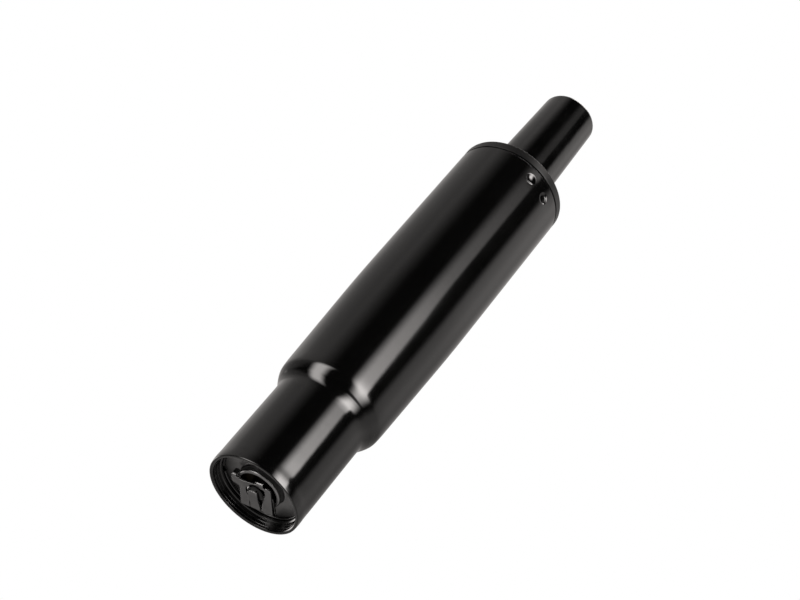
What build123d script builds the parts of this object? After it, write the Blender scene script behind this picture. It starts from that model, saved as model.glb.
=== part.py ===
from build123d import *
import os
import math

os.makedirs("parts", exist_ok=True)

# Gas lift cylinder for a swivel chair, shown fully lowered.
# Frame: +Z up along the common axis, origin at the centre of the column's
# bottom rim, millimetres.  The column stands in the chair's base, the pressure
# tube carries the seat, and the piston rod hangs in the column's floor plate.

# ---------------------------------------------------------------- dimensions
STROKE = 100.0            # travel of the pressure tube, lowered to raised

# outer column
COL_R = 25.0              # straight upper part
COL_WALL = 2.0
TAIL_R = 20.05            # reduced lower part
TAIL_IR = TAIL_R - COL_WALL
COL_IR = COL_R - COL_WALL
STEP_Z0 = 45.75           # knee at the foot of the swage
STEP_Z1 = 52.0            # knee at the head of the swage
CONE_Z1 = 108.5           # end of the seating cone (1:10 class, 1 deg 26 min)
CONE_TAN = 0.0251
CONE_R0 = COL_R - CONE_TAN * (CONE_Z1 - STEP_Z1)
COL_TOP = 196.1
BEAD_Z = 4.8              # rolled-in bead that holds the floor plate
BEAD_IR = 17.15

# stake marks that lock the guide bushing
STAKE_Z = 190.0
STAKE_ANGLES = (-80.5, -57.0, 99.5, 123.0)
STAKE_DEPTH = 0.9
STAKE_CUT_R = 4.5

# guide bushing
BUSH_BORE_R = 14.05
BUSH_FLANGE_R = 25.0
BUSH_FLANGE_Z0 = 196.55
BUSH_TOP = 200.4
BUSH_BOTTOM = 126.0
BUSH_OUT_R = 22.95

# floor plate, collar and thrust bearing
PLATE_Z0 = 6.5
PLATE_Z1 = 11.2
PLATE_R = 17.95
COLLAR_R = 9.6
COLLAR_IR = 8.0
COLLAR_Z0 = 3.1
BEARING_PITCH_R = 9.4
BALL_R = 1.5
BALL_COUNT = 12
RACE_T = 1.2
BALL_Z = PLATE_Z1 + RACE_T + BALL_R + 0.03

# piston rod
ROD_R = 5.0
ROD_TAIL_R = 4.0
ROD_STEP_Z = 18.66
ROD_HEAD_R = 3.7
ROD_GROOVE_R = 2.5
GROOVE_Z0 = 1.33
GROOVE_Z1 = 3.0
ROD_TIP_Z = 0.95

# pressure tube
TUBE_R = 14.0
TUBE_WALL = 1.5
TUBE_IR = TUBE_R - TUBE_WALL
TUBE_Z0 = 30.6
TUBE_CONE_Z = 210.0
TUBE_TOP = 258.0


def tube_r(z):
    """Outer radius of the pressure tube: straight, then its seating cone."""
    return TUBE_R - max(0.0, z - TUBE_CONE_Z) * CONE_TAN


# inner tube and piston
INNER_R = 11.0
INNER_IR = 10.0
PISTON_Z0 = 152.0
PISTON_Z1 = 164.0

# valve and button
VALVE_Z0 = 222.3
VALVE_Z1 = 244.5
PIN_R = 2.0
BUTTON_R = 4.0
BUTTON_TOP = 263.8
BUTTON_TRAVEL = 3.0

# retaining clip
CLIP_T = 0.8
CLIP_DIR = 57.0           # direction of its three fingers, degrees from +X
CLIP_SLOPE = 0.128        # rise of the outer leaf toward the fold
CLIP_FOLD_Q = 7.8
CLIP_HALF = 7.15
CLIP_Z_FOLD = 0.30
CLIP_Z_FORK = 2.9


# ------------------------------------------------------------------- helpers
def turned(points, radii=None, arc=360.0):
    """Solid of revolution about Z from a closed (r, z) outline."""
    rr = [0.0] * len(points)
    for i, r in (radii or {}).items():
        rr[i] = r
    with BuildPart() as bp:
        with BuildSketch(Plane.XZ):
            with BuildLine():
                if any(rr):
                    FilletPolyline(*points, radius=rr, close=True)
                else:
                    Polyline(*points, close=True)
            make_face()
        revolve(axis=Axis.Z, revolution_arc=arc)
    return bp.part


def ring(r0, r1, z0, z1, chamfer_out=0.0):
    """Plain ring, optionally with chamfered outer corners."""
    c = chamfer_out
    if c:
        pts = [(r0, z0), (r1 - c, z0), (r1, z0 + c), (r1, z1 - c), (r1 - c, z1), (r0, z1)]
    else:
        pts = [(r0, z0), (r1, z0), (r1, z1), (r0, z1)]
    return turned(pts)


def torus_at(major, minor, z):
    return Pos(0, 0, z) * Torus(major, minor)


def write(shape, name):
    shape.label = name
    export_step(shape, "parts/" + name + ".step")


# ----------------------------------------------------------------- column tube
w = COL_WALL
col_pts = [
    (TAIL_R - 0.35, 0.0), (TAIL_R - 0.10, 0.35), (TAIL_R + 0.03, 2.6), (TAIL_R - 0.05, 5.8),
    (TAIL_R, 10.5), (TAIL_R, STEP_Z0),
    (CONE_R0, STEP_Z1), (COL_R, CONE_Z1), (COL_R, COL_TOP - 0.4), (COL_R - 0.4, COL_TOP),
    (COL_IR + 0.4, COL_TOP), (COL_IR, COL_TOP - 0.4), (COL_IR, CONE_Z1 + 1.0),
    (CONE_R0 - w, STEP_Z1 + 0.8), (TAIL_IR, STEP_Z0 + 0.8), (TAIL_IR, BEAD_Z + 0.66),
    (BEAD_IR, BEAD_Z + 0.2), (BEAD_IR, BEAD_Z - 0.5), (TAIL_IR, BEAD_Z - 2.3),
    (TAIL_IR, 0.9), (TAIL_IR + 0.7, 0.0),
]
column = turned(col_pts, {2: 12, 3: 30, 4: 30, 5: 9.0, 6: 9.0, 7: 60,
                          12: 60, 13: 8.0, 14: 9.0, 16: 0.2, 17: 0.35, 18: 1.5})
for a in STAKE_ANGLES:
    c, s = math.cos(math.radians(a)), math.sin(math.radians(a))
    rc = COL_R - STAKE_DEPTH + STAKE_CUT_R
    here = Pos(rc * c, rc * s, STAKE_Z)
    bump = (here * Sphere(rc - COL_IR + 0.8)) & ring(15.0, COL_R - 1.0, STAKE_Z - 5.6, STAKE_Z + 5.6)
    column = (column + bump) - (here * Sphere(STAKE_CUT_R))
write(column, "column_tube")

# --------------------------------------------------------------- guide bushing
# Flanged sleeve of hard plastic: bored tube, three full discs and twelve webs.
sleeve = turned([
    (BUSH_BORE_R + 0.6, BUSH_BOTTOM), (16.6, BUSH_BOTTOM), (16.6, 195.0), (20.5, 195.0),
    (20.5, BUSH_FLANGE_Z0), (BUSH_FLANGE_R - 0.3, BUSH_FLANGE_Z0), (BUSH_FLANGE_R, BUSH_FLANGE_Z0 + 0.3),
    (BUSH_FLANGE_R, BUSH_TOP - 0.6), (BUSH_FLANGE_R - 0.6, BUSH_TOP),
    (BUSH_BORE_R + 0.8, BUSH_TOP), (BUSH_BORE_R, BUSH_TOP - 0.8), (BUSH_BORE_R, BUSH_BOTTOM + 0.6),
])
for z0, z1 in ((BUSH_BOTTOM + 1.0, BUSH_BOTTOM + 6.0), (150.0, 153.0), (174.0, 180.0)):
    sleeve += ring(16.0, BUSH_OUT_R, z0, z1, 0.4)
web = Pos((16.0 + 22.4) / 2, 0, (BUSH_BOTTOM + 2 + 194.5) / 2) * Box(6.4, 1.8, 194.5 - BUSH_BOTTOM - 2)
webs = [Rot(0, 0, 30 * i) * web for i in range(12)]
webs = Part() + webs
groove = ring(21.3, 26.0, STAKE_Z - 5.0, STAKE_Z + 5.0)
sleeve = sleeve + (webs - groove)
write(sleeve, "guide_bushing")

# ------------------------------------------------- floor plate and its hardware
base_plate = turned([
    (COLLAR_IR, COLLAR_Z0), (COLLAR_R, COLLAR_Z0), (COLLAR_R, PLATE_Z0), (PLATE_R, PLATE_Z0),
    (PLATE_R, PLATE_Z1), (COLLAR_IR, PLATE_Z1),
], {0: 0.55, 1: 0.95, 2: 0.8, 3: 0.5, 4: 0.5})
write(base_plate, "base_plate")

# split wire ring that sits under the plate, above the rolled bead
wire = torus_at(17.38, 0.5, PLATE_Z0 - 0.52)
gap = Rot(0, 0, 150) * (Pos(17.4, 0, PLATE_Z0 - 0.52) * Box(3, 3.2, 3))
write(wire - gap, "plate_retaining_ring")

write(turned([(ROD_TAIL_R + 0.04, 6.2), (COLLAR_IR - 0.02, 6.2), (COLLAR_IR - 0.02, PLATE_Z1 - 0.1),
              (ROD_TAIL_R + 0.04, PLATE_Z1 - 0.1)], {0: 0.3, 1: 0.3}), "rod_bush")


def race(z_in, z_out):
    """Washer with a shallow ball track on its z_in face."""
    lo, hi = min(z_in, z_out), max(z_in, z_out)
    return ring(5.6, 13.2, lo, hi, 0.25) - torus_at(BEARING_PITCH_R, BALL_R + 0.03, BALL_Z)


write(race(PLATE_Z1 + RACE_T + 0.12, PLATE_Z1), "lower_race")
UP_Z0 = BALL_Z + BALL_R - 0.09
UP_Z1 = UP_Z0 + RACE_T + 0.12
write(race(UP_Z0, UP_Z1), "upper_race")
cage = ring(6.6, 12.2, BALL_Z - 0.55, BALL_Z + 0.55, 0.15)
balls = []
for i in range(BALL_COUNT):
    at = Rot(0, 0, 360.0 / BALL_COUNT * i) * Pos(BEARING_PITCH_R, 0, BALL_Z)
    cage -= at * Sphere(BALL_R + 0.06)
    balls.append(at * Sphere(BALL_R))
write(cage, "bearing_cage")
write(Compound(children=[Solid(b.solid().wrapped) for b in balls]), "bearing_balls")
WASHER_Z1 = ROD_STEP_Z
write(ring(ROD_TAIL_R + 0.05, 13.0, UP_Z1, WASHER_Z1, 0.3), "support_washer")
write(turned([(ROD_R + 0.1, WASHER_Z1 + 0.02), (11.0, WASHER_Z1 + 0.02), (11.0, 21.6), (9.6, 23.0), (9.6, 25.0),
              (11.0, 26.4), (11.0, 30.0), (ROD_R + 0.1, 30.0)],
             {1: 0.6, 2: 0.9, 3: 0.6, 4: 0.6, 5: 0.9, 6: 1.4}), "bump_stop")

# ------------------------------------------------------------------ piston rod
ROD_TOP = 170.2
SPIGOT_R = 3.5
rod = turned([
    (0, ROD_TIP_Z), (ROD_HEAD_R - 0.45, ROD_TIP_Z), (ROD_HEAD_R, ROD_TIP_Z + 0.3), (ROD_HEAD_R, GROOVE_Z0),
    (ROD_GROOVE_R, GROOVE_Z0), (ROD_GROOVE_R, GROOVE_Z1), (ROD_TAIL_R - 0.2, GROOVE_Z1),
    (ROD_TAIL_R, GROOVE_Z1 + 0.3), (ROD_TAIL_R, ROD_STEP_Z), (ROD_R, ROD_STEP_Z + 0.02), (ROD_R, PISTON_Z0),
    (SPIGOT_R, PISTON_Z0), (SPIGOT_R, ROD_TOP - 0.6), (SPIGOT_R - 0.6, ROD_TOP), (0, ROD_TOP),
])
write(rod, "piston_rod")

piston = turned([
    (SPIGOT_R + 0.02, PISTON_Z0), (8.9, PISTON_Z0), (INNER_IR - 0.1, PISTON_Z0 + 1.0),
    (INNER_IR - 0.1, PISTON_Z0 + 2.6), (8.4, PISTON_Z0 + 2.6), (8.4, PISTON_Z0 + 5.4),
    (INNER_IR - 0.1, PISTON_Z0 + 5.4), (INNER_IR - 0.1, PISTON_Z0 + 7.0), (8.9, PISTON_Z0 + 7.0),
    (8.9, PISTON_Z0 + 10.6), (INNER_IR - 0.1, PISTON_Z0 + 10.6), (INNER_IR - 0.1, PISTON_Z1 - 0.8),
    (9.1, PISTON_Z1), (SPIGOT_R + 0.02, PISTON_Z1),
])
write(piston, "piston")
write(torus_at(8.44 + 0.75, 0.74, PISTON_Z0 + 4.0), "piston_seal")
band = ring(8.92, INNER_IR - 0.02, PISTON_Z0 + 7.1, PISTON_Z0 + 10.5)
band -= Rot(0, 0, 40) * (Pos(9.5, 0, PISTON_Z0 + 8.8) * Rot(35, 0, 0) * Box(3, 0.6, 8))
write(band, "piston_guide_ring")
nut = extrude(Plane((0, 0, PISTON_Z1 + 0.02)) * RegularPolygon(6.5, 6, major_radius=False), 4.6)
nut -= Pos(0, 0, PISTON_Z1 + 2) * Cylinder(SPIGOT_R + 0.03, 8)
write(nut & turned([(0, PISTON_Z1 - 1), (8.2, PISTON_Z1 - 1), (8.2, PISTON_Z1 + 4.05), (6.6, PISTON_Z1 + 4.64), (0, PISTON_Z1 + 4.64)]),
      "piston_nut")

# -------------------------------------------------------------- retaining clip
# Folded spring sheet.  p runs along the fold, q runs from the open end to the
# fold.  The outer leaf slopes; its bar and the under leaf grip the rod groove.
ca, sa = math.cos(math.radians(CLIP_DIR)), math.sin(math.radians(CLIP_DIR))
P_AX = Vector(sa, -ca, 0)
Q_AX = Vector(ca, sa, 0)
beta = math.atan(CLIP_SLOPE)
leaf_x = P_AX
leaf_n = P_AX.cross(Vector(ca * math.cos(beta), sa * math.cos(beta), -math.sin(beta)))
leaf = Plane(origin=Q_AX * CLIP_FOLD_Q + Vector(0, 0, CLIP_Z_FOLD), x_dir=leaf_x, z_dir=leaf_n)


def leaf_pts(pts):
    return [(p, (q - CLIP_FOLD_Q) / math.cos(beta)) for p, q in pts]


def leaf_face(pts, radii):
    rr = [radii.get(i, 0.0) for i in range(len(pts))]
    with BuildSketch() as sk:
        with BuildLine():
            FilletPolyline(*leaf_pts(pts), radius=rr, close=True)
        make_face()
    return sk.sketch


H = CLIP_HALF
outline = leaf_face([
    (-H, CLIP_FOLD_Q), (-H, -0.5), (-8.0, -0.9), (-10.5, -1.5), (-10.5, -4.5), (-7.5, -4.5), (-6.9, -3.9),
    (-5.6, -3.75), (0.6, -4.5), (3.7, -4.5), (3.9, -3.6), (4.6, -4.1), (H, -4.1), (H, CLIP_FOLD_Q),
], {1: 0.3, 2: 0.5, 3: 0.7, 5: 0.4, 6: 0.3, 7: 0.8, 11: 0.3, 12: 1.2})
hole = leaf_face([
    (-4.3, 4.4), (-4.35, -0.55), (-2.3, -1.0), (0.9, -2.0), (4.15, -2.95), (4.5, -2.2), (4.2, 1.0), (3.1, 4.4),
], {0: 1.2, 1: 0.5, 4: 0.4, 5: 0.6, 6: 3.0, 7: 0.6})
slot_l = leaf_face([(-3.25, 7.3), (-3.25, 3.5), (-2.75, 3.5), (-2.75, 7.3)], {0: 0.2, 3: 0.2})
slot_r = leaf_face([(1.45, 7.3), (1.45, 3.5), (3.05, 3.5), (2.2, 7.3)], {0: 0.2, 3: 0.2})
outer = extrude(leaf * (outline - hole - slot_l - slot_r), CLIP_T)
outer -= Pos(0, 0, 2.2) * Cylinder(ROD_GROOVE_R + 0.05, 3.5)

# profile pieces in the (q, z) plane, extruded along p
side = Plane(origin=(0, 0, 0), x_dir=Q_AX, z_dir=Q_AX.cross(Vector(0, 0, 1)))


def strip(face, p0, p1):
    """Extrude a (q, z) face from p0 to p1 along the fold."""
    n = Q_AX.cross(Vector(0, 0, 1))
    sgn = 1.0 if n.dot(P_AX) > 0 else -1.0
    return extrude(side.offset(sgn * p0) * face, sgn * (p1 - p0))


fold_r = (CLIP_Z_FORK - CLIP_Z_FOLD) / 2
fold_c = (CLIP_Z_FORK + CLIP_Z_FOLD) / 2
fold_face = (Circle(fold_r) - Circle(fold_r - CLIP_T)).moved(Location((CLIP_FOLD_Q, fold_c, 0)))
keep = Rectangle(4, 8).moved(Location((CLIP_FOLD_Q + 2.0, fold_c, 0)))
fold = strip(fold_face & keep, -H, H)

# under leaf: flat fork in the rod groove
fork_pl = Plane(origin=(0, 0, CLIP_Z_FORK - CLIP_T), x_dir=P_AX, z_dir=(0, 0, 1))
fork = Rectangle(2 * H, CLIP_FOLD_Q - 0.9).moved(Location((0, (CLIP_FOLD_Q + 0.9) / 2, 0)))
fork -= Rectangle(2 * (ROD_GROOVE_R + 0.1), 3.0).moved(Location((0, -0.9, 0)))
fork -= Circle(ROD_GROOVE_R + 0.1)
fork_b = extrude(fork_pl * fork, CLIP_T)

# tongue: springs from the fold and lies on the rod's end face
tq0, tq1 = -0.7, CLIP_FOLD_Q
tongue_face = Polygon((tq1, CLIP_Z_FOLD), (tq1, CLIP_Z_FOLD + CLIP_T), (5.6, CLIP_Z_FOLD + CLIP_T + 0.22),
                      (3.6, 0.92), (tq0, 0.92), (tq0 + 0.1, 0.34), (tq0 + 0.8, 0.12), (3.4, 0.12), (5.4, 0.44), align=None)
tongue = strip(tongue_face, -2.75, 1.45)

# cut the tongue's band out of the leaf, then hook flanges at the open end
band_cut = strip(Rectangle(5.2, 4.0).moved(Location((4.7, 1.2, 0))), -2.75, 1.45)
outer -= band_cut


def hook(p0, p1, q_edge, z_tip):
    z0 = CLIP_Z_FOLD + CLIP_SLOPE * (CLIP_FOLD_Q - q_edge)
    pts = [(q_edge + 0.6, z0 - 0.077), (q_edge - 1.0, z0 + 0.128), (q_edge - 1.0, z_tip), (q_edge - 1.0 + CLIP_T, z_tip),
           (q_edge - 1.0 + CLIP_T, z0 + 0.9), (q_edge + 0.6, z0 + 0.72)]
    with BuildSketch() as sk:
        with BuildLine():
            FilletPolyline(*pts, radius=[0, 0.95, 0.1, 0.1, 0.2, 0], close=True)
        make_face()
    return strip(sk.sketch, p0, p1)


ear = hook(-10.5, -8.6, -4.2, 5.3)
tab = hook(0.75, 3.7, -4.3, 5.2)
clip = outer + fold + fork_b + tongue + ear + tab
write(clip, "retaining_clip")

# --------------------------------------------------------------- pressure tube
tw = TUBE_WALL
top_r = tube_r(TUBE_TOP)
tube = turned([
    (7.6, TUBE_Z0), (TUBE_R, TUBE_Z0), (TUBE_R, TUBE_CONE_Z), (top_r, TUBE_TOP), (8.6, TUBE_TOP),
    (8.6, TUBE_TOP - tw), (top_r - tw + 0.05, TUBE_TOP - tw), (TUBE_IR, TUBE_CONE_Z), (TUBE_IR, TUBE_Z0 + tw), (7.6, TUBE_Z0 + tw),
], {0: 0.3, 1: 2.6, 3: 2.4, 4: 0.4, 5: 0.3, 6: 0.9, 8: 1.1, 9: 0.3})
write(tube, "pressure_tube")

write(ring(INNER_IR, INNER_R, 51.9, VALVE_Z0 - 0.05), "inner_tube")
guide = turned([
    (ROD_R + 0.05, 32.3), (11.2, 32.3), (TUBE_IR - 0.05, 33.6), (TUBE_IR - 0.05, 38.0), (11.6, 38.4), (11.6, 41.2),
    (TUBE_IR - 0.05, 41.6), (TUBE_IR - 0.05, 46.0), (ROD_R + 0.05, 46.0)])
write(guide, "rod_guide")
seal = turned([
    (ROD_R + 0.03, 46.2), (TUBE_IR - 0.08, 46.2), (TUBE_IR - 0.04, 50.2), (9.4, 50.2), (9.0, 47.9), (6.9, 47.9),
    (6.4, 50.2), (ROD_R + 0.03, 49.8)])
write(seal, "rod_seal")
write(ring(9.5, TUBE_IR - 0.06, 50.3, 51.8, 0.2), "seal_spacer")

# ------------------------------------------------------------ valve and button
valve = turned([
    (6.6, 216.2), (INNER_IR - 0.12, 216.2), (INNER_IR - 0.12, VALVE_Z0), (11.3, VALVE_Z0), (11.3, 226.9),
    (10.0, 226.9), (10.0, 229.1), (11.3, 229.1), (11.3, 238.9), (10.0, 238.9), (10.0, 241.1), (11.3, 241.1),
    (11.3, VALVE_Z1), (6.2, VALVE_Z1), (6.2, 241.6), (PIN_R + 0.05, 240.6), (PIN_R + 0.05, 222.6), (3.0, 221.75),
    (6.6, 221.75),
])
for i in range(4):
    valve -= Rot(0, 0, 45 + 90 * i) * (Pos(8.2, 0, 218.6) * Rot(0, 90, 0) * Cylinder(1.1, 6))
write(valve, "valve_body")
vs = Compound(children=[Solid(torus_at(10.92, 0.88, 228.0).solid().wrapped),
                        Solid(torus_at(10.72, 0.68, 240.0).solid().wrapped)])
write(vs, "valve_seals")
pin = turned([
    (0, 218.7), (3.6, 218.7), (4.2, 219.3), (4.2, 220.6), (PIN_R, 222.4), (PIN_R, 248.9), (0, 248.9),
])
write(pin, "valve_pin")

plug = turned([
    (6.0, VALVE_Z1 + 0.1), (10.9, VALVE_Z1 + 0.1), (10.9, 255.6), (10.3, 256.3), (8.4, 256.3), (8.4, 257.2), (BUTTON_R + 0.9, 257.2),
    (BUTTON_R + 0.1, 256.4), (BUTTON_R + 0.1, 251.3), (6.0, 251.3),
])
write(plug, "end_plug")
button = turned([
    (0, 249.0), (5.5, 249.0), (5.5, 251.0), (BUTTON_R, 251.0), (BUTTON_R, BUTTON_TOP - 0.7), (BUTTON_R - 0.7, BUTTON_TOP), (0, BUTTON_TOP),
], {2: 0.2, 4: 0.3, 5: 0.3})
write(button, "release_button")
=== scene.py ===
import bpy
import bmesh
import math
from mathutils import Matrix, Vector


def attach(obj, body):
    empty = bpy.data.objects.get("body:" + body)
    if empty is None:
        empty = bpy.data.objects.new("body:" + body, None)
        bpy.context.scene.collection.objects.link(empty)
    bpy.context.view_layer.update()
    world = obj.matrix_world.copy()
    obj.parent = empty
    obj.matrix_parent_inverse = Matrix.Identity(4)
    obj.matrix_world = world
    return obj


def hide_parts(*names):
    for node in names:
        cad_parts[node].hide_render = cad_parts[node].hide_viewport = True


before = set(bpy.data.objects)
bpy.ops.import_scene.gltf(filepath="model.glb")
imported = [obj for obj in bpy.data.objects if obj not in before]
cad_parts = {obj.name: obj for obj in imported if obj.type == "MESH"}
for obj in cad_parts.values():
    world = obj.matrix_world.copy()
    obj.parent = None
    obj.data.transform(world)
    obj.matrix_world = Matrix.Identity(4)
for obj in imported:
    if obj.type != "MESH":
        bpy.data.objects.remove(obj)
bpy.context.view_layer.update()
MM = 0.001

# ------------------------------------------------------------------ camera
# Pinhole fitted to the photograph's outlines, in the upright row frame.
cam_data = bpy.data.cameras.new("photo_camera")
cam_data.sensor_fit = "HORIZONTAL"
cam_data.sensor_width = 36.0
cam_data.lens = 36.0 * 1712.65 / 800.0
cam_data.clip_start = 0.01
cam_data.clip_end = 50.0
cam_data.shift_x = -0.5 / 800.0
cam_data.shift_y = 0.5 / 800.0
cam = bpy.data.objects.new("photo_camera", cam_data)
bpy.context.scene.collection.objects.link(cam)
cx = Vector((0.7634917, -0.39016639, 0.51463639))
cy = Vector((-0.64581764, -0.46125838, 0.60840799))
cz = Vector((0.0, -0.79687571, -0.60414328))
m = Matrix.Identity(4)
for i in range(3):
    m[i][0], m[i][1], m[i][2] = cx[i], cy[i], cz[i]
m[0][3], m[1][3], m[2][3] = -0.0049972, -0.5621268, -0.3123254
cam.matrix_world = m
bpy.context.scene.camera = cam


# ---------------------------------------------------------------- geometry
def rounded(points, radii, step=0.35, closed=True, support=0.12):
    """(r, z) outline in mm with its corners rounded.  Short support runs either
    side of each arc keep the shading of the flats true."""
    n = len(points)
    out = []
    for i, (x, y) in enumerate(points):
        r = radii.get(i, 0.0)
        px, py = points[i - 1] if (closed or i > 0) else (None, None)
        qx, qy = points[(i + 1) % n] if (closed or i < n - 1) else (None, None)
        if r <= 0 or px is None or qx is None:
            out.append((x, y))
            continue
        ax, ay = px - x, py - y
        bx, by = qx - x, qy - y
        la, lb = math.hypot(ax, ay), math.hypot(bx, by)
        ax, ay, bx, by = ax / la, ay / la, bx / lb, by / lb
        dot = max(-1.0, min(1.0, ax * bx + ay * by))
        ang = math.acos(dot)
        if math.pi - ang < 1e-3:
            out.append((x, y))
            continue
        t = r / math.tan(ang / 2)
        t = min(t, 0.48 * la, 0.48 * lb)
        r = t * math.tan(ang / 2)
        sx, sy = ax + bx, ay + by
        ls = math.hypot(sx, sy)
        cxx, cyy = x + sx / ls * r / math.sin(ang / 2), y + sy / ls * r / math.sin(ang / 2)
        a0 = math.atan2(y + ay * t - cyy, x + ax * t - cxx)
        a1 = math.atan2(y + by * t - cyy, x + bx * t - cxx)
        da = (a1 - a0 + math.pi) % (2 * math.pi) - math.pi
        k = max(3, int(math.ceil(abs(da) * r / step)), int(math.ceil(abs(da) / 0.16)))
        s = min(support, 0.3 * (0.5 * la - t) if la else support, 0.3 * (0.5 * lb - t))
        if s > 0.004:
            out.append((x + ax * (t + s), y + ay * (t + s)))
        for j in range(k + 1):
            a = a0 + da * j / k
            out.append((cxx + r * math.cos(a), cyy + r * math.sin(a)))
        if s > 0.004:
            out.append((x + bx * (t + s), y + by * (t + s)))
    return out


def even_angles(n):
    return [2 * math.pi * i / n for i in range(n)]


def lathe(name, prof, angles=None, closed=True, move=None, sharp=35.0):
    """Mesh turned about Z from an (r, z) outline in mm."""
    angles = angles or even_angles(192)
    na, npf = len(angles), len(prof)
    verts = []
    for a in angles:
        c, s = math.cos(a), math.sin(a)
        for r, z in prof:
            if move:
                r, z = move(r, z, a)
            verts.append((r * c * MM, r * s * MM, z * MM))
    faces = []
    last = npf if closed else npf - 1
    for i in range(na):
        j = (i + 1) % na
        for k in range(last):
            l = (k + 1) % npf
            a, b, c, d = i * npf + k, j * npf + k, j * npf + l, i * npf + l
            if prof[k][0] < 1e-6 and prof[l][0] < 1e-6:
                continue
            faces.append((a, b, c, d))
    me = bpy.data.meshes.new(name)
    me.from_pydata(verts, [], faces)
    bm = bmesh.new()
    bm.from_mesh(me)
    bmesh.ops.remove_doubles(bm, verts=bm.verts, dist=1e-7)
    bmesh.ops.dissolve_degenerate(bm, dist=1e-8, edges=bm.edges)
    bmesh.ops.recalc_face_normals(bm, faces=bm.faces)
    bm.to_mesh(me)
    bm.free()
    me.polygons.foreach_set("use_smooth", [True] * len(me.polygons))
    me.set_sharp_from_angle(angle=math.radians(sharp))
    ob = bpy.data.objects.new(name, me)
    bpy.context.scene.collection.objects.link(ob)
    return ob


def subdivide_runs(prof, longest, closed=True):
    """Splits the long runs of an outline, so that bumps and dents have vertices."""
    out = []
    n = len(prof)
    for i, p in enumerate(prof):
        out.append(p)
        if i == n - 1 and not closed:
            break
        q = prof[(i + 1) % n]
        d = math.hypot(q[0] - p[0], q[1] - p[1])
        k = int(d / longest)
        for j in range(1, k + 1):
            out.append((p[0] + (q[0] - p[0]) * j / (k + 1), p[1] + (q[1] - p[1]) * j / (k + 1)))
    return out


# --------------------------------------------------------------- materials
class Nodes:
    """Small helper for procedural materials."""

    def __init__(self, name):
        self.mat = bpy.data.materials.new(name)
        self.mat.use_nodes = True
        self.t = self.mat.node_tree
        self.t.nodes.clear()
        self.out = self.t.nodes.new("ShaderNodeOutputMaterial")
        self.bsdf = self.t.nodes.new("ShaderNodeBsdfPrincipled")
        self.t.links.new(self.bsdf.outputs[0], self.out.inputs[0])
        self.coord = self.t.nodes.new("ShaderNodeTexCoord")

    def node(self, kind, **values):
        n = self.t.nodes.new(kind)
        for k, v in values.items():
            if hasattr(n, k):
                setattr(n, k, v)
            else:
                n.inputs[k].default_value = v
        return n

    def link(self, a, b):
        self.t.links.new(a, b)

    def scaled(self, sx, sy, sz):
        mp = self.node("ShaderNodeMapping")
        mp.inputs["Scale"].default_value = (sx, sy, sz)
        self.link(self.coord.outputs["Object"], mp.inputs["Vector"])
        return mp.outputs["Vector"]

    def noise(self, vec, scale, detail=3.0, rough=0.5):
        n = self.node("ShaderNodeTexNoise")
        n.inputs["Scale"].default_value = scale
        n.inputs["Detail"].default_value = detail
        n.inputs["Roughness"].default_value = rough
        self.link(vec, n.inputs["Vector"])
        return n.outputs["Fac"]

    def ramp(self, fac, stops):
        r = self.node("ShaderNodeValToRGB")
        e = r.color_ramp.elements
        e[0].position, e[0].color = stops[0][0], stops[0][1]
        e[1].position, e[1].color = stops[-1][0], stops[-1][1]
        for p, c in stops[1:-1]:
            x = e.new(p)
            x.color = c
        self.link(fac, r.inputs["Fac"])
        return r.outputs["Color"]

    def spread(self, fac, lo, hi):
        mr = self.node("ShaderNodeMapRange")
        mr.inputs["To Min"].default_value = lo
        mr.inputs["To Max"].default_value = hi
        self.link(fac, mr.inputs["Value"])
        return mr.outputs["Result"]

    def bump(self, height, strength, distance, normal=None):
        b = self.node("ShaderNodeBump")
        b.inputs["Strength"].default_value = strength
        b.inputs["Distance"].default_value = distance
        self.link(height, b.inputs["Height"])
        if normal is not None:
            self.link(normal, b.inputs["Normal"])
        return b.outputs["Normal"]

    def set(self, **values):
        for k, v in values.items():
            self.bsdf.inputs[k.replace("_", " ")].default_value = v


def grey(v, tint=(1.0, 1.0, 1.0)):
    return (v * tint[0], v * tint[1], v * tint[2], 1.0)


def enamel(name, base, rough, peel, speck, cloud=0.0):
    """Stoved or powder-coated black: faint orange peel and uneven gloss."""
    n = Nodes(name)
    v = n.scaled(1, 1, 1)
    broad = n.noise(v, 45, 3, 0.55)
    fine = n.noise(v, 900, 2, 0.5)
    n.link(n.ramp(broad, [(0.3, grey(base * 0.8)), (0.7, grey(base * 1.25))]), n.bsdf.inputs["Base Color"])
    n.link(n.spread(broad, rough * (0.85 - cloud), rough * (1.2 + cloud)), n.bsdf.inputs["Roughness"])
    a = n.bump(fine, speck, 0.00004)
    b = n.bump(n.noise(v, 260, 2, 0.5), peel, 0.00012, a)
    n.link(b, n.bsdf.inputs["Normal"])
    n.set(IOR=1.5)
    return n.mat


def metal(name, base, rough, grain=(1, 1, 40), scale=60, bump=0.05, tint=(1, 1, 1), metallic=1.0, vary=0.25):
    """Steel with a directional grain and cloudy tone."""
    n = Nodes(name)
    v = n.scaled(*grain)
    g = n.noise(v, scale, 6, 0.6)
    cloud = n.noise(n.scaled(1, 1, 1), 70, 4, 0.6)
    mix = n.node("ShaderNodeMath", operation="MULTIPLY_ADD")
    n.link(g, mix.inputs[0])
    mix.inputs[1].default_value = 0.5
    half = n.node("ShaderNodeMath", operation="MULTIPLY")
    n.link(cloud, half.inputs[0])
    half.inputs[1].default_value = 0.5
    n.link(half.outputs[0], mix.inputs[2])
    n.link(n.ramp(mix.outputs[0], [(0.3, grey(base * (1 - vary), tint)), (0.7, grey(base * (1 + vary), tint))]), n.bsdf.inputs["Base Color"])
    n.link(n.spread(mix.outputs[0], rough * 0.7, rough * 1.35), n.bsdf.inputs["Roughness"])
    n.link(n.bump(g, bump, 0.00005), n.bsdf.inputs["Normal"])
    n.set(Metallic=metallic)
    return n.mat


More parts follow.
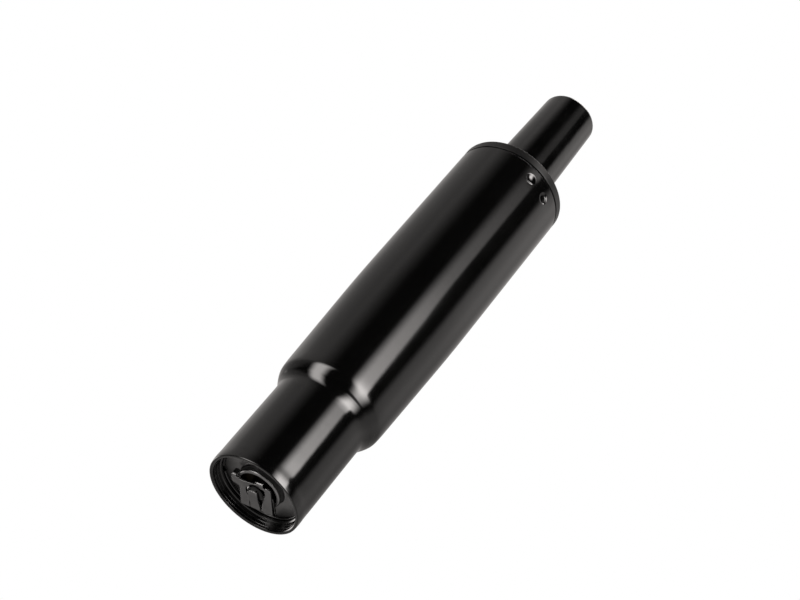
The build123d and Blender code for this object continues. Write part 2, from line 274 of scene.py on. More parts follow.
def paint_end_shade(mat, z_dark, z_bright, factor):
    """Painted shade: multiplies a material's tone by factor below z_dark, in object space."""
    t = mat.node_tree
    bsdf = next(n for n in t.nodes if n.type == "BSDF_PRINCIPLED")
    coord = next(n for n in t.nodes if n.type == "TEX_COORD")
    old = bsdf.inputs["Base Color"].links[0].from_socket
    sep = t.nodes.new("ShaderNodeSeparateXYZ")
    t.links.new(coord.outputs["Object"], sep.inputs[0])
    mr = t.nodes.new("ShaderNodeMapRange")
    mr.inputs["From Min"].default_value = z_dark
    mr.inputs["From Max"].default_value = z_bright
    mr.inputs["To Min"].default_value = factor
    mr.inputs["To Max"].default_value = 1.0
    t.links.new(sep.outputs["Z"], mr.inputs["Value"])
    mul = t.nodes.new("ShaderNodeVectorMath")
    mul.operation = "SCALE"
    t.links.new(old, mul.inputs[0])
    t.links.new(mr.outputs["Result"], mul.inputs["Scale"])
    t.links.new(mul.outputs["Vector"], bsdf.inputs["Base Color"])


def plastic(name, base, rough, tint=(1, 1, 1), scale=700, bump=0.25):
    """Moulded plastic or rubber: fine eroded texture and slight mottle."""
    n = Nodes(name)
    v = n.scaled(1, 1, 1)
    broad = n.noise(v, 60, 3, 0.5)
    fine = n.noise(v, scale, 4, 0.6)
    n.link(n.ramp(broad, [(0.3, grey(base * 0.85, tint)), (0.7, grey(base * 1.15, tint))]), n.bsdf.inputs["Base Color"])
    n.link(n.spread(fine, rough * 0.85, min(1.0, rough * 1.15)), n.bsdf.inputs["Roughness"])
    n.link(n.bump(fine, bump, 0.00006), n.bsdf.inputs["Normal"])
    n.set(IOR=1.5)
    return n.mat


M_COLUMN = enamel("column_enamel", 0.0009, 0.10, 0.06, 0.03)
M_TUBE = enamel("tube_enamel", 0.0006, 0.145, 0.30, 0.12, 0.7)
M_BUSH = plastic("bushing_plastic", 0.003, 0.33, bump=0.12)
M_BUSH.node_tree.nodes["Principled BSDF"].inputs["Specular IOR Level"].default_value = 0.33
M_PLATE = metal("plate_steel", 0.25, 0.38, scale=90, grain=(1, 1, 1))
M_CLIP = metal("spring_steel", 0.175, 0.38, grain=(1, 1, 1), scale=160)
M_WIRE = metal("wire_steel", 0.07, 0.3, grain=(1, 1, 1))
M_BRONZE = metal("sintered_bronze", 0.03, 0.5, tint=(1, 0.75, 0.42), grain=(1, 1, 1), scale=500, bump=0.4)
M_BEARING = metal("bearing_steel", 0.6, 0.22)
M_BALL = metal("ball_steel", 0.72, 0.08, vary=0.05, bump=0.0)
M_CAGE = plastic("cage_plastic", 0.75, 0.45, tint=(1, 0.98, 0.9))
M_PU = plastic("bumper_urethane", 0.5, 0.4, tint=(1, 0.7, 0.28))
M_ROD = metal("rod_chrome", 0.50, 0.14, grain=(1, 1, 1), scale=200, vary=0.06, bump=0.02)
# painted shade: the rod's colour fades to 5% below 12 mm, standing in for the shadow in the clip's gap
paint_end_shade(M_ROD, 0.004, 0.012, 0.05)
M_NBR = plastic("rod_seal_rubber", 0.02, 0.6)
M_ALLOY = metal("piston_alloy", 0.68, 0.32)
M_PTFE = plastic("ptfe_band", 0.4, 0.5, tint=(1, 0.55, 0.32))
M_BARE = metal("bare_steel", 0.5, 0.3)
M_POM = plastic("valve_polymer", 0.78, 0.4, tint=(1, 1, 0.96))
M_PIN = metal("pin_steel", 0.62, 0.2)
M_PLUG = metal("plug_steel", 0.25, 0.38, grain=(1, 1, 1))
M_BUTTON = metal("button_steel", 0.55, 0.26, grain=(1, 1, 1), scale=140)

PAINT = {
    "column_tube": M_COLUMN, "guide_bushing": M_BUSH, "base_plate": M_PLATE, "plate_retaining_ring": M_WIRE,
    "rod_bush": M_BRONZE, "lower_race": M_BEARING, "bearing_cage": M_CAGE, "bearing_balls": M_BALL,
    "upper_race": M_BEARING, "support_washer": M_BEARING, "bump_stop": M_PU, "piston_rod": M_ROD,
    "retaining_clip": M_CLIP, "piston": M_ALLOY, "piston_seal": M_NBR, "piston_guide_ring": M_PTFE,
    "piston_nut": M_PIN, "pressure_tube": M_TUBE, "inner_tube": M_BARE, "rod_guide": M_ALLOY, "rod_seal": M_NBR,
    "seal_spacer": M_BARE, "valve_body": M_POM, "valve_seals": M_NBR, "end_plug": M_PLUG,
    "release_button": M_BUTTON, "valve_pin": M_PIN,
}
for name, mat in PAINT.items():
    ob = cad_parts[name]
    if len(ob.material_slots) == 0:
        ob.data.materials.append(mat)
    for s in ob.material_slots:
        s.material = mat


def place(ob, body, mat, slot, *nodes):
    ob.data.materials.append(mat)
    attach(ob, body)
    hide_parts(*nodes)
    return ob


# ------------------------------------------------------------- outer column
STAKES = ((-80.5, 190.2), (-57.0, 189.6), (99.5, 190.0), (123.0, 190.0))
STAKE_Z = 190.0


def column_angles():
    a = set(round(1.5 * i, 4) for i in range(240))
    for s, _ in STAKES:
        k = -9.0
        while k <= 9.0:
            a.add(round((s + k) % 360.0, 4))
            k += 0.4
    a = sorted(a)
    out = [a[0]]
    for v in a[1:]:
        if v - out[-1] > 0.12:
            out.append(v)
    return [math.radians(v) for v in out]


def dent(r, z, a):
    """Punched stake marks: a round-bottomed pit with a crisp rim, and a
    matching bump inside the wall."""
    if abs(z - STAKE_Z) > 7.0 or r < 22.0:
        return r, z
    for s, sz in STAKES:
        d = (a - math.radians(s) + math.pi) % (2 * math.pi) - math.pi
        x, y = d * 25.0, z - sz
        rho = math.hypot(x, y)
        if rho > 6.5:
            continue
        if r > 24.0:
            pit = math.sqrt(max(0.0, 4.5 ** 2 - rho ** 2)) - 3.62 if rho < 4.5 else -1.0
            if s == -57.0:
                pit = min(0.72 - 0.10 * x + 0.06 * y, (2.55 - rho) * 0.95)
            soft = 0.10 * math.exp(-(((x - 1.2) / 3.4) ** 2 + ((y - 1.6) / 3.2) ** 2))
            k = 0.10
            h = max(k - abs(pit - soft), 0.0) / k
            r -= max(pit, soft) + h * h * k * 0.25
        else:
            r -= 0.78 * math.exp(-((rho / 2.2) ** 2))
    return r, z


# slope in degrees against height over the swage, then summed to radii
SWAGE = [(41.2, 0.0), (42.2, 0.8), (43.2, 1.7), (44.2, 4.0), (45.2, 11.5), (46.2, 19.5), (47.0, 23.8), (47.6, 25.6), (47.95, 28.6),
         (48.2, 30.0), (48.45, 28.8), (48.85, 26.0), (49.8, 24.6), (50.8, 21.8), (51.3, 18.4), (51.7, 13.5), (52.3, 7.8), (53.1, 4.8), (54.1, 3.2), (55.2, 2.3),
         (56.8, 1.6), (58.2, 1.44)]


def slope_at(z):
    for (z0, a0), (z1, a1) in zip(SWAGE, SWAGE[1:]):
        if z <= z1:
            return a0 + (a1 - a0) * (z - z0) / (z1 - z0)
    return SWAGE[-1][1]


swage_out = []
run, z = 0.0, SWAGE[0][0]
while z < 58.2 - 1e-6:
    swage_out.append((run, z))
    run += math.tan(math.radians(slope_at(z + 0.1))) * 0.2
    z += 0.2
rise = 23.594 + (58.2 - 52.5) * 0.02511 - 20.05
swage_out = [(20.05 + dr * rise / run, zz) for dr, zz in swage_out]
foot = [(19.66, 0.0), (19.80, 0.04), (19.89, 0.14), (19.93, 0.28), (19.952, 0.5), (20.0, 1.0), (20.036, 1.5), (20.061, 2.0), (20.075, 2.5),
        (20.078, 3.0), (20.070, 3.5), (20.054, 4.0), (20.036, 4.5), (20.020, 5.0), (20.008, 5.5), (20.002, 6.0), (20.001, 6.5),
        (20.003, 7.0), (20.011, 8.0), (20.021, 9.0), (20.031, 10.0), (20.039, 11.0), (20.045, 12.0), (20.05, 14.0)]
# the cone runs out gently into the straight upper part
blend = []
for i in range(23):
    f = i / 22.0
    blend.append((24.5857 + 0.02511 * 33.0 * (f - (f ** 3 - 0.5 * f ** 4)), 92.0 + 33.0 * f))
upper = [(23.594 + (58.2 - 52.5) * 0.02511, 58.2)] + blend
upper += rounded([(25.0, 130.0), (25.0, 195.95), (23.0, 195.95), (23.0, 109.5), (21.6, 52.9),
                 (18.05, 46.6), (18.05, 5.46), (17.42, 5.05), (17.42, 4.25), (17.94, 3.95), (18.04, 2.75), (18.13, 2.65), (18.24, 1.35),
                 (18.34, 1.25), (18.46, 0.35), (18.80, 0.0)],
                {1: 0.2, 2: 0.3, 3: 60, 4: 8, 5: 9, 6: 0.12, 7: 0.2, 8: 0.2, 9: 0.1, 10: 0.12, 11: 0.1, 12: 0.12, 13: 0.1, 14: 0.12},
                closed=False)
col_prof = foot + swage_out + upper
fine = []
nn = len(col_prof)
for i, p in enumerate(col_prof):
    q = col_prof[(i + 1) % nn]
    fine.append(p)
    zlo, zhi = min(p[1], q[1]), max(p[1], q[1])
    length = math.hypot(q[0] - p[0], q[1] - p[1])
    if length < 1.0:
        continue
    cuts = set()
    step = 4.0
    z = math.ceil(zlo / step) * step
    while z < zhi:
        cuts.add(round(z, 3))
        z += step
    if p[0] > 22.9 and q[0] > 22.9:
        z = 183.5
        while z < 196.0:
            if zlo < z < zhi:
                cuts.add(round(z, 3))
            z += 0.25
    cuts = sorted(c for c in cuts if zlo + 0.1 < c < zhi - 0.1)
    if q[1] < p[1]:
        cuts.reverse()
    for c in cuts:
        f = (c - p[1]) / (q[1] - p[1])
        fine.append((p[0] + (q[0] - p[0]) * f, c))
column = lathe("column", fine, column_angles(), move=dent, sharp=60)
place(column, "column", M_COLUMN, "column_enamel", "column_tube")

# ------------------------------------------------------------ guide bushing
bush_prof = rounded([
    (14.65, 126.0), (16.6, 126.0), (16.6, 195.0), (20.5, 195.0), (20.5, 196.75), (24.95, 196.75), (25.0, 200.4),
    (14.05, 200.4), (14.05, 126.6),
], {5: 0.2, 6: 0.22, 7: 0.8})
bushing = lathe("bushing_flange", subdivide_runs(bush_prof, 6.0), even_angles(240))
ribs = bmesh.new()
ribs.from_mesh(bushing.data)


def add_ring(bm, r0, r1, z0, z1, n=96):
    quads = [(r0, z0), (r1 - 0.4, z0), (r1, z0 + 0.4), (r1, z1 - 0.4), (r1 - 0.4, z1), (r0, z1)]
    rows = []
    for i in range(n):
        a = 2 * math.pi * i / n
        rows.append([bm.verts.new((r * math.cos(a) * MM, r * math.sin(a) * MM, z * MM)) for r, z in quads])
    for i in range(n):
        j = (i + 1) % n
        for k in range(len(quads)):
            l = (k + 1) % len(quads)
            bm.faces.new((rows[i][k], rows[j][k], rows[j][l], rows[i][l]))


def add_block(bm, cx_, cy_, ang, x0, x1, w_, z0, z1):
    c, s = math.cos(ang), math.sin(ang)
    vs = []
    for x, y, z in ((x0, -w_, z0), (x1, -w_, z0), (x1, w_, z0), (x0, w_, z0), (x0, -w_, z1), (x1, -w_, z1), (x1, w_, z1), (x0, w_, z1)):
        vs.append(bm.verts.new(((c * x - s * y + cx_) * MM, (s * x + c * y + cy_) * MM, z * MM)))
    for f in ((3, 2, 1, 0), (4, 5, 6, 7), (0, 1, 5, 4), (1, 2, 6, 5), (2, 3, 7, 6), (3, 0, 4, 7)):
        bm.faces.new([vs[i] for i in f])


for z0, z1 in ((127.0, 132.0), (150.0, 153.0), (174.0, 180.0)):
    add_ring(ribs, 16.3, 22.95, z0, z1)
for i in range(12):
    add_block(ribs, 0, 0, math.radians(30 * i), 16.3, 22.4, 0.9, 128.0, 185.0)
ribs.to_mesh(bushing.data)
ribs.free()
bushing.data.set_sharp_from_angle(angle=math.radians(35))
place(bushing, "column", M_BUSH, "bushing_plastic", "guide_bushing")

# ------------------------------------------------------- floor plate, wire ring
plate_prof = rounded([(8.0, 3.1), (9.6, 3.1), (9.6, 6.5), (17.95, 6.5), (17.95, 11.2), (8.0, 11.2)],
                     {0: 0.55, 1: 0.95, 2: 0.8, 3: 0.5, 4: 0.5}, step=0.12)
plate = lathe("floor_plate", plate_prof, even_angles(180))
place(plate, "column", M_PLATE, "plate_steel", "base_plate")


def split_ring(name, major, minor, z, gap_centre, gap_mm, n=160, m=20):
    half = gap_mm / 2 / major
    verts, faces = [], []
    for i in range(n + 1):
        a = math.radians(gap_centre) + half + (2 * math.pi - 2 * half) * i / n
        for k in range(m):
            b = 2 * math.pi * k / m
            r = major + minor * math.cos(b)
            verts.append((r * math.cos(a) * MM, r * math.sin(a) * MM, (z + minor * math.sin(b)) * MM))
    for i in range(n):
        for k in range(m):
            l = (k + 1) % m
            faces.append((i * m + k, (i + 1) * m + k, (i + 1) * m + l, i * m + l))
    faces.append(tuple(range(m)))
    faces.append(tuple(n * m + k for k in reversed(range(m))))
    me = bpy.data.meshes.new(name)
    me.from_pydata(verts, [], faces)
    bm = bmesh.new()
    bm.from_mesh(me)
    bmesh.ops.recalc_face_normals(bm, faces=bm.faces)
    bm.to_mesh(me)
    bm.free()
    me.polygons.foreach_set("use_smooth", [True] * len(me.polygons))
    me.set_sharp_from_angle(angle=math.radians(50))
    ob = bpy.data.objects.new(name, me)
    bpy.context.scene.collection.objects.link(ob)
    return ob


wire = split_ring("wire_ring", 17.38, 0.49, 5.98, 150, 3.2)
place(wire, "column", M_WIRE, "wire_steel", "plate_retaining_ring")

# ------------------------------------------------------------- pressure tube
TUBE_CONE = 0.0251
top_r = 14.0 - 48.0 * TUBE_CONE
tube_prof = rounded([
    (7.6, 30.6), (14.0, 30.6), (14.0, 210.0), (top_r, 258.2), (8.6, 258.2), (8.6, 256.5), (top_r - 1.45, 256.5),
    (12.5, 210.0), (12.5, 32.1), (7.6, 32.1),
], {0: 0.3, 1: 2.6, 2: 60, 3: 2.0, 4: 0.4, 5: 0.3, 6: 0.9, 7: 60, 8: 1.1, 9: 0.3}, step=0.25)
tube = lathe("pressure_tube_shell", subdivide_runs(tube_prof, 8.0), even_angles(192))
place(tube, "cylinder", M_TUBE, "tube_enamel", "pressure_tube")

# ------------------------------------------------------------- button and plug
button_prof = rounded([(0, 249.0), (5.5, 249.0), (5.5, 251.0), (4.0, 251.0), (4.0, 263.8), (1.6, 263.8), (1.2, 263.35), (0, 263.35)],
                      {1: 0.2, 2: 0.2, 4: 0.55, 5: 0.15}, closed=False)
button = lathe("button", button_prof, even_angles(96), closed=False)
place(button, "button", M_BUTTON, "button_steel", "release_button")
plug_prof = rounded([
    (6.0, 244.6), (10.9, 244.6), (10.9, 255.6), (10.3, 256.3), (8.35, 256.3), (8.35, 257.2), (4.9, 257.2), (4.1, 256.4),
    (4.1, 251.3), (6.0, 251.3)], {4: 0.2, 5: 0.35, 6: 0.2, 7: 0.2})
plug = lathe("end_plug_turned", plug_prof, even_angles(120))
place(plug, "cylinder", M_PLUG, "plug_steel", "end_plug")

# ------------------------------------------------------------ retaining clip
# Drawn flat in (p, s): p along the fold, s along the strip, then bent.
T = 0.8
SLOPE = 0.128
FOLD_Q, Z_FOLD, Z_FORK, H = 7.8, 0.30, 2.9, 7.15
COSB = math.cos(math.atan(SLOPE))
FR = (Z_FORK - Z_FOLD) / 2
FC = (Z_FORK + Z_FOLD) / 2
ARC = math.pi * FR
BEND_Q = -4.35            # where the ear and the tab turn up
BEND_R = 0.95
HOOK_TIP = 5.2


def leaf_z(q):
    return Z_FOLD + SLOPE * (FOLD_Q - q)


def bent(p, s, t, tongue=False):
    """Flat point (p, s) at depth t (0 outer face, T inner face) to (p, q, z).
    s is 0 at the fold's start, negative toward the open end."""
    if s <= 0.0:
        q = FOLD_Q + s * COSB
        if q >= BEND_Q:
            z = leaf_z(q) + t / COSB
            if tongue:
                f = (FOLD_Q - q) / 8.4
                e = max(0.0, min(1.0, (f - 0.12) / 0.42))
                e = e * e * (3 - 2 * e)
                lie = 0.10 + 0.22 * max(0.0, (f - 0.86) / 0.24) ** 2
                z = (1 - e) * z + e * (lie + t)
            return p, q, z
        # bend, then straight up
        over = (BEND_Q - q)
        zc = leaf_z(BEND_Q) + BEND_R
        quarter = BEND_R * math.pi / 2
        if over < quarter:
            a = over / BEND_R
            return p, BEND_Q - math.sin(a) * (BEND_R - t) * 1.0, zc - math.cos(a) * (BEND_R - t)
        return p, BEND_Q - (BEND_R - t), zc + (over - quarter)
    if s < ARC:
        a = s / FR
        rr = FR - t
        return p, FOLD_Q + math.sin(a) * rr, FC - math.cos(a) * rr
    return p, FOLD_Q - (s - ARC), Z_FORK - t


def s_of(q):
    return (q - FOLD_Q) / COSB


HOOK_S = s_of(BEND_Q) - (BEND_R * math.pi / 2 + (HOOK_TIP - leaf_z(BEND_Q) - BEND_R)) / COSB
FORK_S = ARC + (FOLD_Q - 0.9)


def arc_pts(cx_, cy_, r, a0, a1, n):
    return [(cx_ + r * math.cos(math.radians(a0 + (a1 - a0) * i / n)), cy_ + r * math.sin(math.radians(a0 + (a1 - a0) * i / n))) for i in range(n + 1)]


def corner(pts, radii, step=0.25):
    return rounded(pts, radii, step=step, support=0.0)


S = s_of
outer_pts = corner([
    (-H, FORK_S), (-H, S(-0.5)), (-7.9, S(-0.8)), (-10.5, S(-1.4)), (-10.5, HOOK_S), (-8.6, HOOK_S), (-8.5, S(-4.3)),
    (-7.6, S(-4.45)), (-6.9, S(-3.9)), (-5.6, S(-3.75)), (0.75, S(-4.4)), (0.75, HOOK_S), (3.7, HOOK_S), (3.7, S(-4.4)),
    (3.95, S(-3.55)), (4.7, S(-4.15)), (H, S(-4.0)), (H, FORK_S), (2.75, FORK_S), (2.7, FORK_S - 0.1),
], {0: 0.5, 1: 0.4, 2: 0.5, 3: 0.8, 4: 0.5, 5: 0.5, 6: 0.35, 7: 0.5, 8: 0.35, 9: 0.9, 10: 0.4, 11: 0.5, 12: 0.5, 13: 0.35,
    14: 0.3, 15: 0.4, 16: 1.3, 17: 0.5})
# the fork's slot follows the rod's groove
notch = []
for a in range(0, 11):
    th = math.radians(20 + 14 * a)
    notch.append((2.62 * math.cos(th), ARC + FOLD_Q - 2.62 * math.sin(th)))
outer_pts = outer_pts[:-1] + [(2.62, FORK_S - 0.0)] + notch + [(-2.62, FORK_S)]

# window, and the slots that free the tongue: they run on into the fold
hole_pts = []
hole_pts += [(-3.20, 1.30), (-3.24, 0.6), (-3.27, S(7.2)), (-3.27, S(5.6)), (-3.30, S(4.3)), (-3.40, S(3.2))]
hole_pts += [(4.35 * math.cos(math.radians(a)), S(4.35 * math.sin(math.radians(a)))) for a in range(146, 186, 6)]
hole_pts += [(-4.25, S(-0.75)), (-3.9, S(-1.25)), (-3.3, S(-1.75))]
hole_pts += [(3.05 * math.cos(math.radians(a)), S(3.05 * math.sin(math.radians(a)))) for a in range(222, 292, 8)]
hole_pts += [(1.7, S(-2.85)), (2.6, S(-2.95)), (3.5, S(-2.98)), (4.05, S(-2.85)), (4.4, S(-2.2)), (4.5, S(-1.2)), (4.42, S(0.0)), (4.1, S(1.2)),
             (3.65, S(2.2)), (3.2, S(3.2)), (2.85, S(4.4)), (2.6, S(5.6)), (2.50, S(6.8)), (2.47, S(7.5)), (2.45, 0.6), (2.42, 1.30)]
hole_pts += [(1.9, 1.48), (1.40, 1.30), (1.40, 0.5), (1.42, S(7.2)), (1.46, S(5.0)), (1.50, S(3.0)), (1.52, S(1.2)), (1.52, S(-0.1)), (1.45, S(-0.9)),
             (1.15, S(-1.35)), (0.6, S(-1.52)), (-0.5, S(-1.56)), (-1.7, S(-1.50)), (-2.3, S(-1.25)), (-2.62, S(-0.75)), (-2.70, S(0.05)),
             (-2.74, S(1.2)), (-2.78, S(3.0)), (-2.80, S(5.0)), (-2.82, S(7.0)), (-2.84, 0.5), (-2.86, 1.30), (-3.03, 1.45)]


def is_tongue(p, s):
    q = FOLD_Q + s * COSB
    return s <= 0.05 and -2.95 <= p <= 1.95 and q > -1.7


def resample(pts, step):
    out = []
    n = len(pts)
    for i, p in enumerate(pts):
        q = pts[(i + 1) % n]
        out.append(p)
        d = math.hypot(q[0] - p[0], q[1] - p[1])
        k = int(d / step)
        for j in range(1, k + 1):
            out.append((p[0] + (q[0] - p[0]) * j / (k + 1), p[1] + (q[1] - p[1]) * j / (k + 1)))
    clean = [out[0]]
    for p in out[1:]:
        if math.hypot(p[0] - clean[-1][0], p[1] - clean[-1][1]) > 0.03:
            clean.append(p)
    if math.hypot(clean[0][0] - clean[-1][0], clean[0][1] - clean[-1][1]) < 0.03:
        clean.pop()
    return clean


def area2(pts):
    return sum(pts[i - 1][0] * p[1] - p[0] * pts[i - 1][1] for i, p in enumerate(pts))


def inset(pts, d, solid_left=True):
    """Moves each point of a loop into the sheet by d."""
    n = len(pts)
    sgn = 1.0 if area2(pts) > 0 else -1.0
    if not solid_left:
        sgn = -sgn
    out = []
    for i, p in enumerate(pts):
        a, b = pts[i - 1], pts[(i + 1) % n]
        e1 = (p[0] - a[0], p[1] - a[1])
        e2 = (b[0] - p[0], b[1] - p[1])
        l1, l2 = math.hypot(*e1), math.hypot(*e2)
        n1 = (-e1[1] / l1 * sgn, e1[0] / l1 * sgn)
        n2 = (-e2[1] / l2 * sgn, e2[0] / l2 * sgn)
        mx, my = n1[0] + n2[0], n1[1] + n2[1]
        lm = math.hypot(mx, my) or 1.0
        mx, my = mx / lm, my / lm
        k = min(1.6, 1.0 / max(0.5, mx * n1[0] + my * n1[1]))
        out.append((p[0] + mx * d * k, p[1] + my * d * k))
    return out


from mathutils.geometry import delaunay_2d_cdt


def inside(pt, loop):
    x, y = pt
    hit = False
    n = len(loop)
    for i in range(n):
        x1, y1 = loop[i - 1]
        x2, y2 = loop[i]
        if (y1 > y) != (y2 > y) and x < (x2 - x1) * (y - y1) / (y2 - y1) + x1:
            hit = not hit
    return hit


def seg_dist(pt, loop):
    best = 1e9
    for i in range(len(loop)):
        ax, ay = loop[i - 1]
        bx, by = loop[i]
        dx, dy = bx - ax, by - ay
        l2 = dx * dx + dy * dy or 1e-12
        u = max(0.0, min(1.0, ((pt[0] - ax) * dx + (pt[1] - ay) * dy) / l2))
        best = min(best, math.hypot(pt[0] - ax - u * dx, pt[1] - ay - u * dy))
    return best


def make_clip():
    loop = resample(outer_pts, 0.45)
    hole = resample(hole_pts, 0.40)
    EDGE = 0.16
    levels = [(EDGE, 0.0), (EDGE * 0.62, EDGE * 0.08), (EDGE * 0.29, EDGE * 0.29), (EDGE * 0.08, EDGE * 0.62), (0.0, EDGE),
              (0.0, T - EDGE), (EDGE * 0.08, T - EDGE * 0.62), (EDGE * 0.29, T - EDGE * 0.29), (EDGE * 0.62, T - EDGE * 0.08), (EDGE, T)]
    in_loop, in_hole = inset(loop, EDGE), inset(hole, EDGE, solid_left=False)
    pts = [Vector(p) for p in in_loop] + [Vector(p) for p in in_hole]
    nl, nh = len(in_loop), len(in_hole)
    edges = [(i, (i + 1) % nl) for i in range(nl)] + [(nl + i, nl + (i + 1) % nh) for i in range(nh)]
    step = 0.42
    y = HOOK_S
    row = 0
    while y < FORK_S + 0.4:
        x = -11.0 + (step / 2 if row % 2 else 0.0)
        while x < 8.0:
            c = (x, y)
            if inside(c, in_loop) and not inside(c, in_hole) and seg_dist(c, in_loop) > 0.22 and seg_dist(c, in_hole) > 0.22:
                pts.append(Vector(c))
            x += step
        y += step * 0.87
        row += 1
    vs, es, fs, ov, oe, of_ = delaunay_2d_cdt(pts, edges, [], 0, 1e-5)
    tris = []
    for f in fs:
        cxm = sum(vs[i][0] for i in f) / len(f)
        cym = sum(vs[i][1] for i in f) / len(f)
        if inside((cxm, cym), in_loop) and not inside((cxm, cym), in_hole):
            tris.append(f)
    # index of each boundary point in the triangulation
    back = {}
    for new, olds in enumerate(ov):
        for o in olds:
            back[o] = new

    def to3d(p, s, t):
        p, q, z = bent(p, s, t, is_tongue(p, s))
        ca, sa = math.cos(math.radians(57.0)), math.sin(math.radians(57.0))
        return ((sa * p + ca * q) * MM, (-ca * p + sa * q) * MM, z * MM)

    bm = bmesh.new()
    top = [bm.verts.new(to3d(v[0], v[1], 0.0)) for v in vs]
    bot = [bm.verts.new(to3d(v[0], v[1], T)) for v in vs]
    for f in tris:
        bm.faces.new([top[i] for i in f])
        bm.faces.new([bot[i] for i in reversed(f)])
    for loop_pts, off, left in ((loop, 0, True), (hole, nl, False)):
        n = len(loop_pts)
        rings = [[top[back[off + i]] for i in range(n)]]
        for d, t in levels[1:-1]:
            moved = inset(loop_pts, d, solid_left=left)
            rings.append([bm.verts.new(to3d(x, s, t)) for x, s in moved])
        rings.append([bot[back[off + i]] for i in range(n)])
        for a, b in zip(rings, rings[1:]):
            for i in range(n):
                j = (i + 1) % n
                try:
                    bm.faces.new((a[i], a[j], b[j], b[i]))
                except ValueError:
                    pass
    bmesh.ops.delete(bm, geom=[v for v in bm.verts if not v.link_faces], context="VERTS")
    bmesh.ops.recalc_face_normals(bm, faces=bm.faces)
    me = bpy.data.meshes.new("spring_clip")
    bm.to_mesh(me)
    bm.free()
    me.polygons.foreach_set("use_smooth", [True] * len(me.polygons))
    me.set_sharp_from_angle(angle=math.radians(75))
    ob = bpy.data.objects.new("spring_clip", me)
    bpy.context.scene.collection.objects.link(ob)
    return ob


clip = make_clip()
place(clip, "rod", M_CLIP, "spring_steel", "retaining_clip")

# ------------------------------------------------------------------- world
# A white studio: pale surround, a dark flag in front with one tall softbox
# inside it, and a broad overhead bank that keeps the floor pale.
world = bpy.data.worlds.new("studio")
bpy.context.scene.world = world
world.use_nodes = True
wt = world.node_tree
wt.nodes.clear()


def sock(x, inp):
    if isinstance(x, (int, float)):
        inp.default_value = x
    else:
        wt.links.new(x, inp)


def calc(op, a, b=None, c=None):
    n = wt.nodes.new("ShaderNodeMath")
    n.operation = op
    for i, v in enumerate((a, b, c)):
        if v is not None:
            sock(v, n.inputs[i])
    return n.outputs[0]


def fade(x, lo, hi):
    n = wt.nodes.new("ShaderNodeMapRange")
    n.interpolation_type = "SMOOTHSTEP"
    sock(x, n.inputs["Value"])
    n.inputs["From Min"].default_value = lo
    n.inputs["From Max"].default_value = hi
    return n.outputs["Result"]


def band(x, lo0, lo1, hi1, hi0):
    return calc("MULTIPLY", fade(x, lo0, lo1), fade(x, hi0, hi1))


coord = wt.nodes.new("ShaderNodeTexCoord")
xyz = wt.nodes.new("ShaderNodeSeparateXYZ")
wt.links.new(coord.outputs["Generated"], xyz.inputs[0])
az = calc("MULTIPLY", calc("ARCTAN2", xyz.outputs[1], xyz.outputs[0]), 57.29578)
el = calc("MULTIPLY", calc("ARCSINE", xyz.outputs[2]), 57.29578)
tilt = calc("SUBTRACT", el, 36.0)

def mix(f, a, b):
    return calc("MULTIPLY_ADD", f, calc("SUBTRACT", b, a), a)


def curve(x, stops, peak):
    """Piecewise-linear value over degrees -60 to 60."""
    fac = wt.nodes.new("ShaderNodeMapRange")
    sock(x, fac.inputs["Value"])
    fac.inputs["From Min"].default_value = -60.0
    fac.inputs["From Max"].default_value = 60.0
    r = wt.nodes.new("ShaderNodeValToRGB")
    e = r.color_ramp.elements
    pts = [((p + 60.0) / 120.0, v / peak) for p, v in stops]
    e[0].position, e[0].color = pts[0][0], grey(pts[0][1])
    e[1].position, e[1].color = pts[-1][0], grey(pts[-1][1])
    for p, v in pts[1:-1]:
        k = e.new(p)
        k.color = grey(v)
    wt.links.new(fac.outputs[0], r.inputs["Fac"])
    return calc("MULTIPLY", r.outputs["Color"], peak)


# surround: cooler on the right at low angles, a paler patch beside the flag
up = fade(el, 28, 48)
right = band(az, -30, -8, 80, 96)
r_side = mix(up, 0.27, 0.55)
r_side = calc("ADD", r_side, calc("MULTIPLY", band(az, -40, -20, 8, 40), mix(up, 0.30, 0.44)))
r_side = calc("ADD", r_side, calc("MULTIPLY", fade(az, 55, 72), 0.06))
left = mix(fade(el, 42, 50), 0.50, 0.72)
left = mix(fade(el, 2, 20), 0.28, left)
surround = mix(right, left, r_side)
surround = calc("ADD", surround, calc("MULTIPLY", calc("MULTIPLY", band(az, 106, 118, 148, 164), band(el, 24, 28, 32, 35.5)), 0.16))
# under the horizon: a pale sweep behind, the flag in front
surround = mix(calc("MULTIPLY", fade(el, -4, -16), band(az, 20, 50, 150, 178)), surround, 0.36)
surround = calc("MULTIPLY", surround, mix(fade(el, 48, 53), 1.0, 0.72))
surround = calc("MULTIPLY", surround, calc("SUBTRACT", 1.0, calc("MULTIPLY", calc("MULTIPLY", calc("ADD", band(az, 126, 150, 181, 182), band(az, -182, -181, -176, -158)), fade(el, 31, 34)), 0.2)))
back = calc("ADD", band(az, 122, 142, 181, 182), band(az, -182, -181, -160, -150))
surround = calc("MULTIPLY", surround, calc("SUBTRACT", 1.0, calc("MULTIPLY", calc("MULTIPLY", back, fade(el, 2, -10)), 0.93)))
flag = band(az, -168, -124, -31, -15)
surround = calc("MULTIPLY", surround, calc("SUBTRACT", 1.0, calc("MULTIPLY", flag, 0.992)))
surround = mix(fade(el, -42, -58), surround, 0.6)
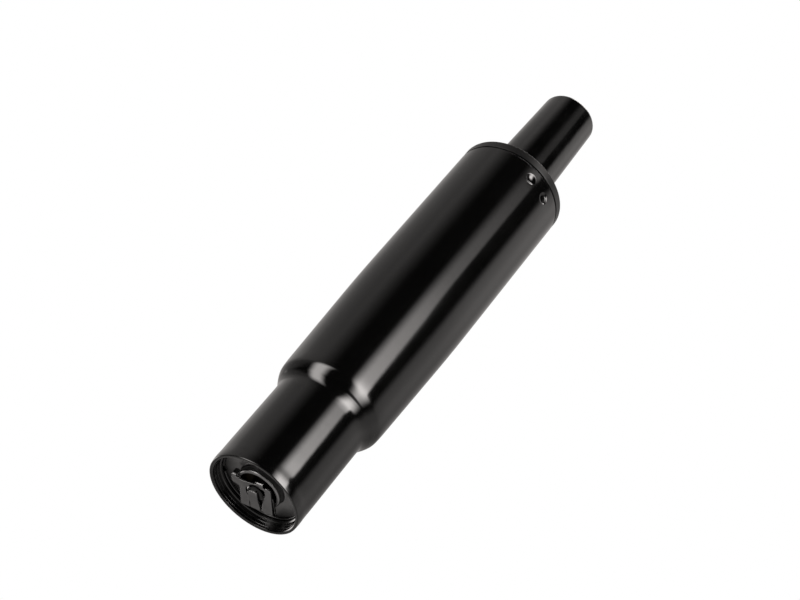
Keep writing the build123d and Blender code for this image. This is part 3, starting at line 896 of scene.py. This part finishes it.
# tall softbox, with its own reflection in the bench under it
rise = fade(calc("MULTIPLY_ADD", tilt, 0.2, az), -94, -71)
lean = calc("ADD", calc("MULTIPLY_ADD", fade(el, 38, 30), -8.5, az), calc("MULTIPLY", fade(el, 26, 0), -4.0))
fall = mix(fade(el, 28, 8), fade(lean, -54.5, -61.0), fade(az, -33, -60))
level = curve(el, [(-31, 0.0), (-25, 1.0), (-21, 7.5), (-10, 13.5), (12, 15.0), (24, 12.5), (31, 6.5), (34, 3.4), (40, 1.35),
                   (44, 0.35), (50, 0.3), (55, 0.0)], 15.0)
box = calc("MULTIPLY", calc("MULTIPLY", rise, fall), level)
# lower box to the left, and one behind
level2 = curve(el, [(-56, 0.0), (-35, 3.5), (-26, 8.5), (-6, 8.2), (5, 4.6), (17, 0.0)], 15.0)
lean2 = calc("MULTIPLY_ADD", el, -0.4, az)
box = calc("ADD", box, calc("MULTIPLY", band(lean2, -167, -148, -139, -121), level2))
box = calc("ADD", box, calc("MULTIPLY", calc("MULTIPLY", band(az, 104, 118, 126, 142), band(el, -30, -22, 0, 10)), 5.0))
total = calc("ADD", box, surround)
cap = fade(el, 70, 80)
total = calc("ADD", calc("MULTIPLY", total, calc("SUBTRACT", 1.0, cap)), calc("MULTIPLY", cap, 9.0))
path = wt.nodes.new("ShaderNodeLightPath")
w_bg = wt.nodes.new("ShaderNodeBackground")
w_bg.inputs["Color"].default_value = (1, 1, 1, 1)
tint = wt.nodes.new("ShaderNodeMix")
tint.data_type = "RGBA"
tint.inputs["A"].default_value = (1.035, 0.992, 0.967, 1)
tint.inputs["B"].default_value = (1, 1, 1, 1)
wt.links.new(path.outputs["Is Camera Ray"], tint.inputs["Factor"])
wt.links.new(tint.outputs["Result"], w_bg.inputs["Color"])
wt.links.new(calc("ADD", calc("MULTIPLY", total, calc("SUBTRACT", 1.0, path.outputs["Is Camera Ray"])), path.outputs["Is Camera Ray"]),
             w_bg.inputs["Strength"])
w_out = wt.nodes.new("ShaderNodeOutputWorld")
wt.links.new(w_bg.outputs[0], w_out.inputs[0])
world.cycles.sampling_method = "MANUAL"
world.cycles.sample_map_resolution = 1024
bpy.context.scene.view_settings.view_transform = "Standard"
bpy.context.scene.view_settings.look = "None"

# ------------------------------------------------------------------- floor
me = bpy.data.meshes.new("floor")
me.from_pydata([(-6, -6, -0.9), (6, -6, -0.9), (6, 6, -0.9), (-6, 6, -0.9)], [], [(0, 1, 2, 3)])
floor = bpy.data.objects.new("floor", me)
bpy.context.scene.collection.objects.link(floor)
fl = Nodes("floor_paper")
fl.link(fl.ramp(fl.noise(fl.scaled(1, 1, 1), 2.0, 2, 0.5), [(0.3, grey(0.86)), (0.7, grey(0.88))]), fl.bsdf.inputs["Base Color"])
fl.set(Roughness=0.9)
floor.data.materials.append(fl.mat)
floor.visible_glossy = False
